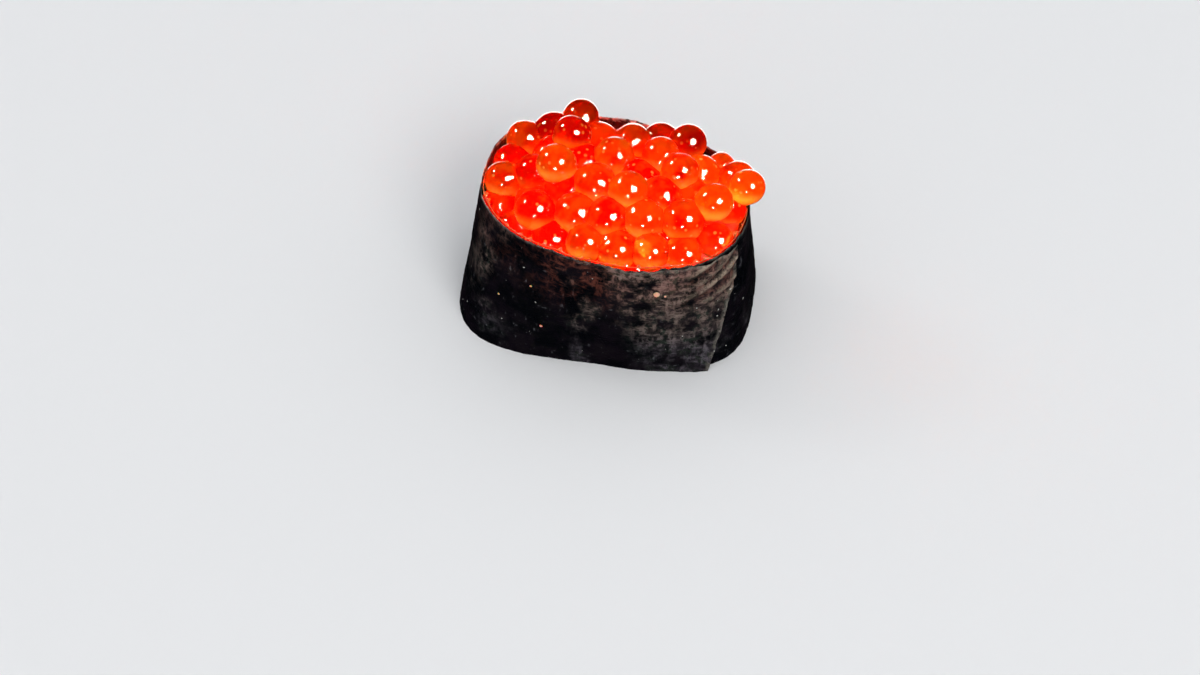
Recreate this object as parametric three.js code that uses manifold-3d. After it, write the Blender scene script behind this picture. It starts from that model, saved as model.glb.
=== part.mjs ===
// Gunkan sushi: an oblong of pressed rice, wrapped upright in one strip of toasted nori
// whose free end overlaps at the front right, and filled to above its rim with salmon roe.
//
// Millimetres, +Z up, +X along the long side, front towards -Y. The origin is on the
// underside, at the middle of the strip's bottom outline.

import * as THREE from "three";
import { mergeVertices } from "three/addons/utils/BufferGeometryUtils.js";
import Module from "manifold-3d";

// ---------------------------------------------------------------- driving dimensions

// Outer outline of the wrap at the bottom: half length, half width, squareness.
const BASE_HALF_LENGTH = 25.3;
const BASE_HALF_WIDTH = 17.3;
const BASE_SQUARENESS = 3.4;

// Outer outline of the wrap at the rim, which is smaller, rounder and a little twisted.
const RIM_HALF_LENGTH = 23.0;
const RIM_HALF_WIDTH = 16.3;
const RIM_SQUARENESS = 2.3;
const RIM_TWIST = THREE.MathUtils.degToRad(-7.3);
const RIM_CENTRE_X = 1.3;
const RIM_CENTRE_Y = -0.4;
const RIM_HEIGHT = 25.7;
const RIM_WAVE = 0.35;

// The nori strip and the way it is wound, with angles seen from above.
const NORI_THICKNESS = 0.5;
const INNER_END = THREE.MathUtils.degToRad(-64);
const OUTER_END_BOTTOM = THREE.MathUtils.degToRad(-38.5);
const OUTER_END_TOP = THREE.MathUtils.degToRad(-20.5);
const LAP_SPACING = 0.3;
const LAP_EASE = THREE.MathUtils.degToRad(30);
const LIFT_EASE = THREE.MathUtils.degToRad(15);
const LIFT_BOTTOM = 0.9;
const LIFT_TOP = 0.35;
const WRINKLE_DEPTH = 0.22;
const STRIP_STEPS_ALONG = 90;
const STRIP_STEPS_UP = 5;

// Clearance between neighbouring pieces.
const CLEARANCE = 0.32;

// Rice block.
const RICE_TOP = 14.5;
const RICE_UNEVENNESS = 0.12;
const RICE_EDGE_ROUND = 0.5;
const RICE_SEGMENTS = 56;
const RICE_LAYERS = 4;

// Salmon roe: the eggs' size, how unevenly they are laid in rings and how they settle.
const EGG_RADIUS = 3.05;
const PINNED_SIZE_SPREAD = 0.06;
const SIZE_SPREAD = 0.12;
const LEVEL_SPREAD = 0.9;
const HEIGHT_SPREAD = 1.2;
const EGG_PACKING = 0.93;
const EGG_SPACING = 5.75;
const LEAST_SPACING = 3.6;
const TOP_RING_DROP = 0.3;
const LAYER_STEP = 4.4;
const RING_STEP = 5.0;
const CROWN_STEP = 0.7;
const LAYERS = 3;
const RINGS = 4;
const SETTLE_ROUNDS = 240;
const SINK_STEP = 0.13;
const SEED = 128;

// The heap's outline: facets of an egg, the filling under the eggs that show, and the
// height from which a settled egg shows.
const EGG_DETAIL = 1;
const ROE_FLOOR = RICE_TOP + CLEARANCE;
const ROE_CORE_TOP = 22.4;
const ROE_CORE_CROWN = 6.5;
const ROE_SEGMENTS = 44;
const VISIBLE_ABOVE = 23.8;

// Eggs with a set place, as [x, y, z] of their centres. The crest runs along the back rim
// from left to right and ends in a pair that hangs over the right end; after it come the
// eggs along the front rim, which sink into the wrap at its left and right.
const PINNED_EGGS = [
  [-6.5, 12.7, 29.1],
  [-11.0, 10.6, 27.2],
  [-7.3, 7.0, 31.0],
  [-15.7, 8.8, 26.4],
  [-17.3, 4.2, 25.0],
  [-18.0, -0.8, 26.2],
  [2.9, 8.9, 28.4],
  [2.3, 12.6, 24.4],
  [7.3, 12.0, 26.0],
  [12.2, 10.6, 27.8],
  [8.2, 5.0, 30.2],
  [12.0, 1.4, 30.8],
  [15.2, 3.9, 28.0],
  [18.6, 7.4, 25.4],
  [21.5, 4.0, 27.4],
  [23.6, 0.5, 29.5],
  [-18.6, -4.0, 22.6],
  [-14.9, -8.9, 23.2],
  [-8.2, -11.3, 24.1],
  [-2.1, -12.6, 25.8],
  [3.4, -13.1, 25.4],
  [9.0, -12.8, 25.6],
  [14.5, -11.6, 24.4],
  [19.4, -7.5, 23.9],
  [20.7, -1.5, 25.4],
];

// The low place in the crest where the inside of the back rim is open to view.
const DIP = { x: -2.0, y: 13.5, reach: 4.2 };

// Colours.
const NORI_COLOUR = 0x14181a;
const RICE_COLOUR = 0xe9e6dc;
const ROE_COLOUR = 0xf04a12;

// ---------------------------------------------------------------- the wrap's surface

/** Distance from the centre to a superellipse in the direction phi. */
function superellipse(halfLength, halfWidth, squareness, phi) {
  const along = Math.abs(Math.cos(phi) / halfLength) ** squareness;
  const across = Math.abs(Math.sin(phi) / halfWidth) ** squareness;
  return (along + across) ** (-1 / squareness);
}

/** Shallow waves that the damp sheet takes on, fading at the bottom edge. */
function wrinkle(phi, share) {
  const broad = Math.sin(5 * phi + 1.3 + 2.1 * share) * Math.sin(Math.PI * share);
  const slanting = 0.5 * Math.sin(11 * phi - 4 * share + 0.7) * share;
  return WRINKLE_DEPTH * (broad + slanting);
}

/** Centre and outer radius of the single wrap in the direction phi at the height z. */
function wall(phi, z) {
  const share = Math.min(Math.max(z / RIM_HEIGHT, 0), 1);
  const bottom = superellipse(BASE_HALF_LENGTH, BASE_HALF_WIDTH, BASE_SQUARENESS, phi);
  const top = superellipse(RIM_HALF_LENGTH, RIM_HALF_WIDTH, RIM_SQUARENESS, phi - RIM_TWIST);
  return {
    x: RIM_CENTRE_X * share,
    y: RIM_CENTRE_Y * share,
    radius: bottom + (top - bottom) * share,
    wrinkle: wrinkle(phi, share),
  };
}

/** Point of the wrap's outer surface. */
function wallPoint(phi, z) {
  const at = wall(phi, z);
  const radius = at.radius + at.wrinkle;
  return new THREE.Vector3(at.x + radius * Math.cos(phi), at.y + radius * Math.sin(phi), z);
}

/** Outward direction of the wrap, level with the ground. */
function wallNormal(phi, z) {
  const step = 0.004;
  const along = wallPoint(phi + step, z).sub(wallPoint(phi - step, z));
  return new THREE.Vector3(along.y, -along.x, 0).normalize();
}

/** Height of the rim, which is a little uneven and highest at the back left. */
function rimHeight(phi) {
  return RIM_HEIGHT + RIM_WAVE * (Math.cos(phi - 2.6) + 0.4 * Math.sin(5 * phi));
}

/** Eased step from 0 to 1. */
function ease(from, to, value) {
  return THREE.MathUtils.smoothstep(value, from, to);
}

// ---------------------------------------------------------------- meshes and solids

/** The closed mesh of a geometry, with its shared vertices merged. */
function closed(geometry) {
  const bare = geometry.clone();
  bare.deleteAttribute("normal");
  bare.deleteAttribute("uv");
  return mergeVertices(bare, 1e-4);
}

/** Moves every vertex of a geometry by a function of its place. */
function reshape(geometry, place) {
  const position = geometry.attributes.position;
  const point = new THREE.Vector3();
  for (let i = 0; i < position.count; i += 1) {
    point.fromBufferAttribute(position, i);
    const moved = place(point);
    position.setXYZ(i, moved.x, moved.y, moved.z);
  }
  geometry.computeVertexNormals();
  return geometry;
}

const wasm = await Module();
wasm.setup();

/** A closed geometry as a solid for joins and cuts. */
function toSolid(geometry) {
  return new wasm.Manifold(
    new wasm.Mesh({
      numProp: 3,
      vertProperties: new Float32Array(geometry.attributes.position.array),
      triVerts: new Uint32Array(geometry.index.array),
    }),
  );
}

/** A solid as a geometry. */
function toGeometry(solid) {
  const mesh = solid.getMesh();
  const geometry = new THREE.BufferGeometry();
  geometry.setAttribute("position", new THREE.BufferAttribute(mesh.vertProperties, 3));
  geometry.setIndex(new THREE.BufferAttribute(mesh.triVerts, 1));
  geometry.computeVertexNormals();
  return geometry;
}

/** A named mesh with its own material. */
function piece(name, geometry, colour, roughness) {
  const material = new THREE.MeshStandardMaterial({ color: colour, roughness, metalness: 0 });
  const mesh = new THREE.Mesh(geometry, material);
  mesh.name = name;
  return mesh;
}

// ---------------------------------------------------------------- nori

/** The strip: a flat bar bent round the rice, with its last stretch over its first. */
function noriStrip() {
  const bar = new THREE.BoxGeometry(1, 1, 1, STRIP_STEPS_ALONG, 1, STRIP_STEPS_UP);
  const lapStart = INNER_END + 2 * Math.PI;
  return reshape(closed(bar), (point) => {
    const run = 0.5 - point.x;
    const inward = 0.5 - point.y;
    const share = point.z + 0.5;
    const outerEnd = THREE.MathUtils.lerp(OUTER_END_BOTTOM, OUTER_END_TOP, share) + 2 * Math.PI;
    const phi = THREE.MathUtils.lerp(INNER_END, outerEnd, run);
    const height = share * rimHeight(phi);
    const lap = (NORI_THICKNESS + LAP_SPACING) * ease(lapStart - LAP_EASE, lapStart - 0.02, phi);
    const lift = THREE.MathUtils.lerp(LIFT_BOTTOM, LIFT_TOP, share);
    const curl = lift * ease(outerEnd - LIFT_EASE, outerEnd + 0.1, phi);
    const out = wallNormal(phi, height);
    const offset = lap + curl - inward * NORI_THICKNESS;
    return wallPoint(phi, height).addScaledVector(out, offset).setZ(height);
  });
}

// ---------------------------------------------------------------- filling outlines

/** Radius left free inside the wrap at the height z. */
function innerRadius(phi, z) {
  const at = wall(phi, z);
  return at.radius - WRINKLE_DEPTH * 1.5 - NORI_THICKNESS - CLEARANCE;
}

/** An upright filling of the wrap between two heights, with a surface function on top. */
function filling(bottom, top, segments, layers, surface) {
  const drum = new THREE.CylinderGeometry(1, 1, 1, segments, layers).rotateX(Math.PI / 2);
  return reshape(closed(drum), (point) => {
    const phi = Math.atan2(point.y, point.x);
    const reach = Math.hypot(point.x, point.y);
    const share = point.z + 0.5;
    const height = THREE.MathUtils.lerp(bottom, top, share);
    const at = wall(phi, height);
    const radius = reach * innerRadius(phi, height);
    const place = new THREE.Vector3(
      at.x + radius * Math.cos(phi),
      at.y + radius * Math.sin(phi),
      height,
    );
    return surface(place, share, reach);
  });
}

// ---------------------------------------------------------------- rice

/** The pressed rice block, with the lumps of its grains on its top edge and its sides. */
function riceBlock() {
  return filling(0, RICE_TOP, RICE_SEGMENTS, RICE_LAYERS, (place, share, reach) => {
    const lumps = Math.sin(place.x * 1.3 + 1) * Math.sin(place.y * 1.7) * Math.sin(place.z * 1.1 + 2);
    const inset = reach > 0.5 ? RICE_UNEVENNESS * (1 + lumps) : 0;
    const round = reach > 0.5 ? RICE_EDGE_ROUND * (ease(0.8, 1, share) + ease(-0.2, 0, -share)) : 0;
    const length = Math.hypot(place.x, place.y);
    const scale = length > 0 ? 1 - (inset + round) / length : 1;
    return new THREE.Vector3(place.x * scale, place.y * scale, place.z);
  });
}

// ---------------------------------------------------------------- roe

/** Repeatable random numbers from 0 to 1. */
function randomSource(seed) {
  let state = seed;
  return () => {
    state = (state * 1664525 + 1013904223) % 4294967296;
    return state / 4294967296;
  };
}

/** The outline at an inset from the wrap, with the running length at each corner. */
function insetOutline(inset, z) {
  const corners = [];
  const lengths = [0];
  for (let i = 0; i <= 120; i += 1) {
    const phi = (2 * Math.PI * i) / 120;
    const at = wall(phi, z);
    const radius = at.radius - inset;
    corners.push([at.x + radius * Math.cos(phi), at.y + radius * Math.sin(phi)]);
    if (i > 0) {
      const [before, now] = [corners[i - 1], corners[i]];
      lengths.push(lengths[i - 1] + Math.hypot(now[0] - before[0], now[1] - before[1]));
    }
  }
  return { corners, lengths };
}

/** The point of an outline at a running length. */
function pointAlong({ corners, lengths }, length) {
  let i = 0;
  while (i < lengths.length - 2 && lengths[i + 1] <= length) {
    i += 1;
  }
  const share = (length - lengths[i]) / (lengths[i + 1] - lengths[i] + 1e-9);
  return [
    corners[i][0] + (corners[i + 1][0] - corners[i][0]) * share,
    corners[i][1] + (corners[i + 1][1] - corners[i][1]) * share,
  ];
}

/** Distance between two eggs' centres. */
function distance(a, b) {
  return Math.sqrt((a.x - b.x) ** 2 + (a.y - b.y) ** 2 + (a.z - b.z) ** 2);
}

/** Eggs laid in rings, layer by layer, around the pinned eggs. */
function laidEggs(random) {
  const spread = (width) => width * (random() - 0.5);
  const eggs = PINNED_EGGS.map(([x, y, z]) => {
    return { x, y, z, radius: EGG_RADIUS * (1 + spread(PINNED_SIZE_SPREAD)), fixed: true };
  });
  for (let layer = 0; layer < LAYERS; layer += 1) {
    for (let ring = 0; ring < RINGS; ring += 1) {
      const inset = NORI_THICKNESS + CLEARANCE + EGG_RADIUS + 0.1 + ring * RING_STEP;
      const crown = layer === 0 ? CROWN_STEP * ring : 0;
      const height = RIM_HEIGHT - TOP_RING_DROP - LAYER_STEP * layer + crown;
      if (inset > RIM_HALF_WIDTH - 1) {
        continue;
      }
      const outline = insetOutline(inset, Math.min(height, RIM_HEIGHT));
      const total = outline.lengths[outline.lengths.length - 1];
      const count = Math.max(1, Math.floor(total / EGG_SPACING));
      const start = random();
      for (let i = 0; i < count; i += 1) {
        const [x, y] = pointAlong(outline, (((i + start) / count) * total) % total);
        const egg = {
          x: x + spread(LEVEL_SPREAD),
          y: y + spread(LEVEL_SPREAD),
          z: height + spread(HEIGHT_SPREAD),
          radius: EGG_RADIUS * (1 + spread(SIZE_SPREAD)),
          fixed: false,
        };
        const inDip = layer === 0 && Math.hypot(egg.x - DIP.x, egg.y - DIP.y) < DIP.reach;
        if (!inDip && eggs.every((other) => distance(egg, other) > LEAST_SPACING)) {
          eggs.push(egg);
        }
      }
    }
  }
  return eggs;
}

/** Pushes two touching eggs apart, moving only those that are free. */
function separate(a, b) {
  const reach = (a.radius + b.radius) * EGG_PACKING;
  const apart = distance(a, b);
  if ((a.fixed && b.fixed) || apart >= reach || apart < 1e-6) {
    return;
  }
  const push = (reach - apart) / apart;
  const shareA = a.fixed ? 0 : b.fixed ? 1 : 0.5;
  const shareB = 1 - shareA;
  const [dx, dy, dz] = [(a.x - b.x) * push, (a.y - b.y) * push, (a.z - b.z) * push];
  a.x += dx * shareA;
  a.y += dy * shareA;
  a.z += dz * shareA;
  b.x -= dx * shareB;
  b.y -= dy * shareB;
  b.z -= dz * shareB;
}

/** Keeps a free egg above the rice and inside the wrap, or resting over its rim. */
function contain(egg) {
  egg.z = Math.max(egg.z, ROE_FLOOR + egg.radius * 0.9);
  const share = Math.min(egg.z / RIM_HEIGHT, 1);
  const [x, y] = [RIM_CENTRE_X * share, RIM_CENTRE_Y * share];
  const free = wall(Math.atan2(egg.y - y, egg.x - x), egg.z).radius - NORI_THICKNESS - CLEARANCE;
  const reach = Math.hypot(egg.x - x, egg.y - y);
  if (egg.z <= RIM_HEIGHT) {
    if (reach > free - egg.radius) {
      const scale = (free - egg.radius) / reach;
      egg.x = x + (egg.x - x) * scale;
      egg.y = y + (egg.y - y) * scale;
    }
    return;
  }
  const out = reach - free - CLEARANCE;
  const up = egg.z - RIM_HEIGHT;
  const apart = Math.hypot(out, up);
  const need = egg.radius + CLEARANCE;
  if (apart < need) {
    const scale = (free + CLEARANCE + (out / apart) * need) / reach;
    egg.x = x + (egg.x - x) * scale;
    egg.y = y + (egg.y - y) * scale;
    egg.z = RIM_HEIGHT + (up / apart) * need;
  }
}

/** The eggs where they come to rest. */
function settledEggs() {
  const eggs = laidEggs(randomSource(SEED));
  for (let round = 0; round < SETTLE_ROUNDS; round += 1) {
    const sink = SINK_STEP * (1 - round / SETTLE_ROUNDS);
    const free = eggs.filter((egg) => !egg.fixed);
    free.forEach((egg) => {
      egg.z -= sink;
    });
    for (let i = 0; i < eggs.length; i += 1) {
      for (let j = i + 1; j < eggs.length; j += 1) {
        separate(eggs[i], eggs[j]);
      }
    }
    free.forEach(contain);
  }
  return eggs;
}

/** The heap out to its uneven outline: the showing eggs joined to the filling under them. */
function roeHeap() {
  const crowned = (place, share, reach) => {
    return place.setZ(place.z + ROE_CORE_CROWN * share * (1 - reach));
  };
  const core = toSolid(filling(ROE_FLOOR, ROE_CORE_TOP, ROE_SEGMENTS, 1, crowned));
  const opening = filling(ROE_FLOOR, RIM_HEIGHT + 1.2, ROE_SEGMENTS, 1, (place) => place);
  const above = new THREE.BoxGeometry(80, 80, 20).translate(0, 0, RIM_HEIGHT + 10.9);
  const room = toSolid(opening).add(toSolid(closed(above)));
  let heap = core;
  settledEggs()
    .filter((egg) => egg.fixed || egg.z > VISIBLE_ABOVE)
    .forEach((egg) => {
      const ball = new THREE.IcosahedronGeometry(egg.radius, EGG_DETAIL);
      ball.rotateX(egg.x).rotateZ(egg.y).translate(egg.x, egg.y, egg.z);
      heap = heap.add(toSolid(closed(ball)).intersect(room));
    });
  return toGeometry(heap);
}

// ---------------------------------------------------------------- the sushi

const group = new THREE.Group();
group.name = "gunkan_sushi";
group.add(piece("nori", noriStrip(), NORI_COLOUR, 0.55));
group.add(piece("rice", riceBlock(), RICE_COLOUR, 0.6));
group.add(piece("roe", roeHeap(), ROE_COLOUR, 0.15));

export default group;
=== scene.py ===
"""Gunkan sushi with salmon roe: nori strip, rice and single eggs, dressed and lit."""

import logging
import math
from dataclasses import dataclass
from enum import Enum
from typing import Any, Optional, Union

import bmesh
import bpy
import numpy as np
from mathutils import Matrix, Vector, noise


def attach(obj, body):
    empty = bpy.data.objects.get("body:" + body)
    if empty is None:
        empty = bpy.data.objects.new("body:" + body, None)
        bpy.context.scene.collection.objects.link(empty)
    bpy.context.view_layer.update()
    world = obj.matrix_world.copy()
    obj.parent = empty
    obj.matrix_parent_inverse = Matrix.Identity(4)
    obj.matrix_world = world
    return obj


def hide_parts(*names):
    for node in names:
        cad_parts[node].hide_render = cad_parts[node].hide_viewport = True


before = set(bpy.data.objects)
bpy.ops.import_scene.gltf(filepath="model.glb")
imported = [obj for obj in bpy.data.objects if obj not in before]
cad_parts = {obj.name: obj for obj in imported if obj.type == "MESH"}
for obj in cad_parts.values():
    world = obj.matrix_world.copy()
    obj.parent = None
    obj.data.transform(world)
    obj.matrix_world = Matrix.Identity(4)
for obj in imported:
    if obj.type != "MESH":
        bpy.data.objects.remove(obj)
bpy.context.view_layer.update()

LOG = logging.getLogger("gunkan_sushi")
MM = 0.001  # metres in a millimetre
WELD = 0.001  # millimetres between corners that are joined
TURN = 2 * math.pi
Triple = tuple[float, float, float]
Colour = Triple
Pair = tuple[float, float]  # the two ends of a range, or what is said where it is used
Band = tuple[float, ...]  # low, high and, where they aren't 0 and 1, the results there
Relief = Pair  # share of the effect, depth in metres
Grain = Triple  # waves in a metre, octaves, how strong each finer octave is
Contact = tuple[np.ndarray, float]  # direction and distance from an egg's centre


class Light(Enum):
    """What a lamp is hung for."""

    FILL = "fill"
    SPARKLE = "sparkle"


class Slot(Enum):
    """The record's material slots."""

    NORI = "nori"
    RICE = "rice"
    ROE = "roe"


# ---------------- shader writing


class Signal:
    """A node's output, on which sums and products add Math nodes."""

    def __init__(self, shade: "Shade", socket: bpy.types.NodeSocket) -> None:
        """Keeps the tree it belongs to and the output that carries the value."""
        self.shade = shade
        self.socket = socket

    def _math(self, operation: str, first: Any, second: Any) -> "Signal":
        """The result of one Math node on two values or signals."""
        return self.shade.node("Math", {"operation": operation}, {0: first, 1: second})

    def __add__(self, other: Any) -> "Signal":
        """Sum."""
        return self._math("ADD", self, other)

    __radd__ = __add__

    def __mul__(self, other: Any) -> "Signal":
        """Product."""
        return self._math("MULTIPLY", self, other)

    __rmul__ = __mul__

    def __sub__(self, other: Any) -> "Signal":
        """Difference."""
        return self._math("SUBTRACT", self, other)

    def __rsub__(self, other: Any) -> "Signal":
        """Difference from a number."""
        return self._math("SUBTRACT", other, self)

    def clamped(self) -> "Signal":
        """The value kept between 0 and 1."""
        return self.shade.node("Clamp", {}, {"Value": self})

    def band(self, low: float, high: float, start: float = 0.0, end: float = 1.0) -> "Signal":
        """The range from low to high mapped smoothly to start and end."""
        values = {"Value": self, "From Min": low, "From Max": high, "To Min": start, "To Max": end}
        return self.shade.node("MapRange", {"interpolation_type": "SMOOTHSTEP"}, values)


class Shade:
    """The node tree of a material or a world, under construction."""

    def __init__(self, name: str, end: str = "Material") -> None:
        """Starts a tree with nothing but its output.

        Args:
            name: The name of the material or world.
            end: The output's kind, Material or World.
        """
        shelf = bpy.data.materials if end == "Material" else bpy.data.worlds
        self.owner = shelf.new(name)
        self.owner.use_nodes = True
        self.tree = self.owner.node_tree
        self.tree.nodes.clear()
        self.end = self.tree.nodes.new("ShaderNodeOutput" + end)

    def node(
        self,
        kind: str,
        settings: dict[str, Any],
        inputs: dict[Union[str, int], Any],
        out: Union[str, int] = 0,
    ) -> Signal:
        """Adds a node.

        Args:
            kind: The node's type without its ShaderNode prefix.
            settings: Its properties, set first.
            inputs: Values or signals by the socket's name or number.
            out: The output to give back.

        Returns:
            The output as a signal.
        """
        made = self.tree.nodes.new("ShaderNode" + kind)
        for key, value in settings.items():
            setattr(made, key, value)
        for key, value in inputs.items():
            target = made.inputs[key]
            if isinstance(value, Signal):
                self.tree.links.new(value.socket, target)
            else:
                target.default_value = (*value, 1.0) if target.type == "RGBA" else value
        return Signal(self, made.outputs[out])

    def place(self) -> Signal:
        """Object coordinates."""
        return self.node("TexCoord", {}, {}, "Object")

    def scaled(self, where: Signal, by: Triple) -> Signal:
        """Coordinates scaled along each axis."""
        return self.node("VectorMath", {"operation": "MULTIPLY"}, {0: where, 1: by})

    def height(self, where: Signal) -> Signal:
        """The upward part of coordinates."""
        return self.node("SeparateXYZ", {}, {0: where}, "Z")

    def attribute(self, name: str) -> Signal:
        """A value stored on the mesh."""
        return self.node("Attribute", {"attribute_name": name}, {}, "Fac")

    def noise(self, where: Signal, scale: float, detail: float, rough: float) -> Signal:
        """Fractal noise around one half, with the three numbers of a Grain."""
        values = {"Vector": where, "Scale": scale, "Detail": detail, "Roughness": rough}
        return self.node("TexNoise", {}, values)

    def mix(self, share: Any, first: Any, second: Any) -> Signal:
        """Mixes two colours by the share of the second."""
        return self.node("Mix", {"data_type": "RGBA"}, {0: share, 6: first, 7: second}, 2)

    def bump(self, height: Signal, strength: float, depth: float, under: Any = None) -> Signal:
        """A normal bent by a height's relief, its depth in metres, over a coarser one if any."""
        values = {"Strength": strength, "Distance": depth, "Height": height}
        return self.node("Bump", {}, {**values, "Normal": under} if under else values)

    def solid(self, values: dict[str, Any]) -> Any:
        """Closes the material as one Principled surface and gives it back."""
        return self.close(self.node("BsdfPrincipled", {}, values))

    def close(self, surface: Signal) -> Any:
        """Joins a shader to the output and gives back the material or world."""
        self.tree.links.new(surface.socket, self.end.inputs["Surface"])
        return self.owner


# ---------------- finishes


@dataclass(frozen=True)
class NoriFinish:
    """Toasted seaweed: blue-black and mottled, with a broken satin sheen, a painted reddish reflection of
    the roe, painted sheen and painted highlights.
    """

    dark: Colour = (0.0012, 0.0016, 0.0028)
    violet: Colour = (0.0045, 0.0028, 0.0058)
    roe_reflection_maroon: Colour = (0.110, 0.030, 0.020)
    grey: Colour = (0.215, 0.160, 0.135)
    rose: Colour = (0.265, 0.155, 0.130)
    lilac: Colour = (0.135, 0.118, 0.138)
    ridge_highlight: Colour = (0.38, 0.30, 0.22)
    green: Colour = (0.034, 0.046, 0.034)
    fibre: Colour = (0.062, 0.062, 0.070)
    edge: Colour = (0.52, 0.48, 0.40)
    fleck_and_glint: Colour = (0.50, 0.50, 0.46)
    shine: float = 0.035
    lying: Triple = (0.35, 0.35, 1.0)
    standing: Triple = (1.0, 1.0, 0.35)
    weft: Grain = (1300.0, 3.0, 0.7)
    warp: Grain = (1000.0, 3.0, 0.7)
    patches: Grain = (180.0, 3.0, 0.6)
    blotches: Grain = (330.0, 3.0, 0.6)
    pebbles: Grain = (700.0, 3.0, 0.6)
    flecks_and_glints: Grain = (1150.0, 1.0, 0.55)
    violet_patch: Band = (0.42, 0.60)
    fibre_weave: Band = (0.60, 0.72)
    fibre_pebble: Band = (0.48, 0.64)
    roe_reflection_blotch: Band = (0.36, 0.54)
    roe_reflection_weave: Band = (0.46, 0.66)
    grey_height: Band = (0.004, 0.012)
    rose_height: Band = (0.014, 0.021)
    rose_patch: Band = (0.40, 0.55, 0.3, 1.0)
    green_pebble: Band = (0.46, 0.60)
    worn_and_sheen_blotch: Band = (0.32, 0.58)
    worn_and_sheen_weave: Band = (0.43, 0.66, 0.14, 1.0)
    ridge_pebble: Band = (0.36, 0.52)
    ridge_weave: Band = (0.40, 0.60, 0.3, 1.0)
    fleck_and_glint_size: Band = (0.785, 0.80)
    edge_pebble: Band = (0.40, 0.56, 0.15, 1.0)
    edge_weave: Band = (0.38, 0.56, 0.3, 1.0)
    rough_patch: Band = (0.35, 0.70, 0.30, 0.46)
    rough_weave: Band = (0.40, 0.70, -0.05, 0.08)
    pebble_relief: Relief = (0.7, 0.00035)
    weave_relief: Relief = (0.8, 0.00016)

    def material(self) -> bpy.types.Material:
        """Makes the material.

        Returns:
            The material, which reads the strip's attributes: the cut edge, the faded patches with the
            painted sheen, the band of painted roe reflection and the fold ridges.
        """
        shade = Shade("toasted_nori")
        where = shade.place()
        weft = shade.noise(shade.scaled(where, self.lying), *self.weft)
        warp = shade.noise(shade.scaled(where, self.standing), *self.warp)
        weave = shade.node("Math", {"operation": "MAXIMUM"}, {0: weft, 1: warp})
        patches = shade.noise(where, *self.patches)
        blotches = shade.noise(where, *self.blotches)
        pebbles = shade.noise(where, *self.pebbles)
        colour = shade.mix(patches.band(*self.violet_patch), self.dark, self.violet)
        fibres = weave.band(*self.fibre_weave) * pebbles.band(*self.fibre_pebble)
        colour = shade.mix(fibres, colour, self.fibre)
        # Painted reflection: a maroon band under the rim stands for the roe's reddish light reflected on
        # the sheet.
        roe_reflection = shade.attribute("roe_reflection") * blotches.band(*self.roe_reflection_blotch)
        colour = shade.mix(roe_reflection * weave.band(*self.roe_reflection_weave), colour, self.roe_reflection_maroon)
        height = shade.height(where)
        # Painted sheen: the grey, rose and green layer is partly real fading and mostly a painted sheen
        # on the lit front-right stretch.
        faded_and_sheen = shade.mix(height.band(*self.grey_height), self.lilac, self.grey)
        rosy = height.band(*self.rose_height) * patches.band(*self.rose_patch)
        faded_and_sheen = shade.mix(rosy, faded_and_sheen, self.rose)
        faded_and_sheen = shade.mix(pebbles.band(*self.green_pebble), faded_and_sheen, self.green)
        worn_and_sheen = shade.attribute("worn_and_sheen") * blotches.band(*self.worn_and_sheen_blotch)
        colour = shade.mix((worn_and_sheen * weave.band(*self.worn_and_sheen_weave)).clamped(), colour, faded_and_sheen)
        # Painted highlight: the pale colour on the fold ridges stands for light catching their crests.
        ridge = shade.attribute("ridge") * pebbles.band(*self.ridge_pebble)
        colour = shade.mix(ridge * weave.band(*self.ridge_weave), colour, self.ridge_highlight)
        # Pale specks: partly flecks in the sheet, partly painted glints.
        flecks_and_glints = shade.noise(where, *self.flecks_and_glints)
        colour = shade.mix(flecks_and_glints.band(*self.fleck_and_glint_size), colour, self.fleck_and_glint)
        # Pale cut edge: partly frayed fibres, partly a painted highlight along the rim.
        frayed_and_highlit = shade.attribute("cut_edge") * pebbles.band(*self.edge_pebble)
        colour = shade.mix(frayed_and_highlit * weave.band(*self.edge_weave), colour, self.edge)
        relief = shade.bump(pebbles, *self.pebble_relief)
        return shade.solid({
            "Base Color": colour,
            "Roughness": patches.band(*self.rough_patch) + weave.band(*self.rough_weave),
            "Normal": shade.bump(weave, *self.weave_relief, relief),
            "Specular IOR Level": self.shine,
        })


@dataclass(frozen=True)
class WetFinish:
    """What the eggs and the brine share: a smooth skin round clear liquid that glows inside."""

    roughness: float = 0.03
    refraction: float = 1.38
    shine: float = 0.35
    clear: float = 0.6
    inside: float = 1.0
    scatter: float = 0.003
    spread: Triple = (1.0, 0.3, 0.1)
    sheen: float = 0.0
    sheen_roughness: float = 0.12
    sheen_tint: Colour = (1.0, 0.52, 0.22)
    lamp_tint: Colour = (1.0, 0.7, 0.5)
    ripple: float = 0.5
    ripple_depth: float = 0.00014

    def wet(self, shade: Shade, colour: Any, skin: Signal) -> bpy.types.Material:
        """Closes a material so that the lamps shine through what it covers.

        Args:
            shade: The material under construction.
            colour: The body's colour.
            skin: The height of its skin's unevenness.

        Returns:
            The finished material.
        """
        body = {
            "Base Color": colour,
            "Roughness": self.roughness,
            "Normal": shade.bump(skin, self.ripple, self.ripple_depth),
            "IOR": self.refraction,
            "Transmission Weight": self.clear,
            "Subsurface Weight": self.inside,
            "Subsurface Radius": self.spread,
            "Subsurface Scale": self.scatter,
            "Specular IOR Level": self.shine,
            "Sheen Weight": self.sheen,
            "Sheen Roughness": self.sheen_roughness,
            "Sheen Tint": self.sheen_tint,
        }
        surface = shade.node("BsdfPrincipled", {}, body)
        film = shade.node("BsdfTransparent", {}, {"Color": self.lamp_tint})
        shadow = shade.node("LightPath", {}, {}, "Is Shadow Ray")
        return shade.close(shade.node("MixShader", {}, {0: shadow, 1: surface, 2: film}))


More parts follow.
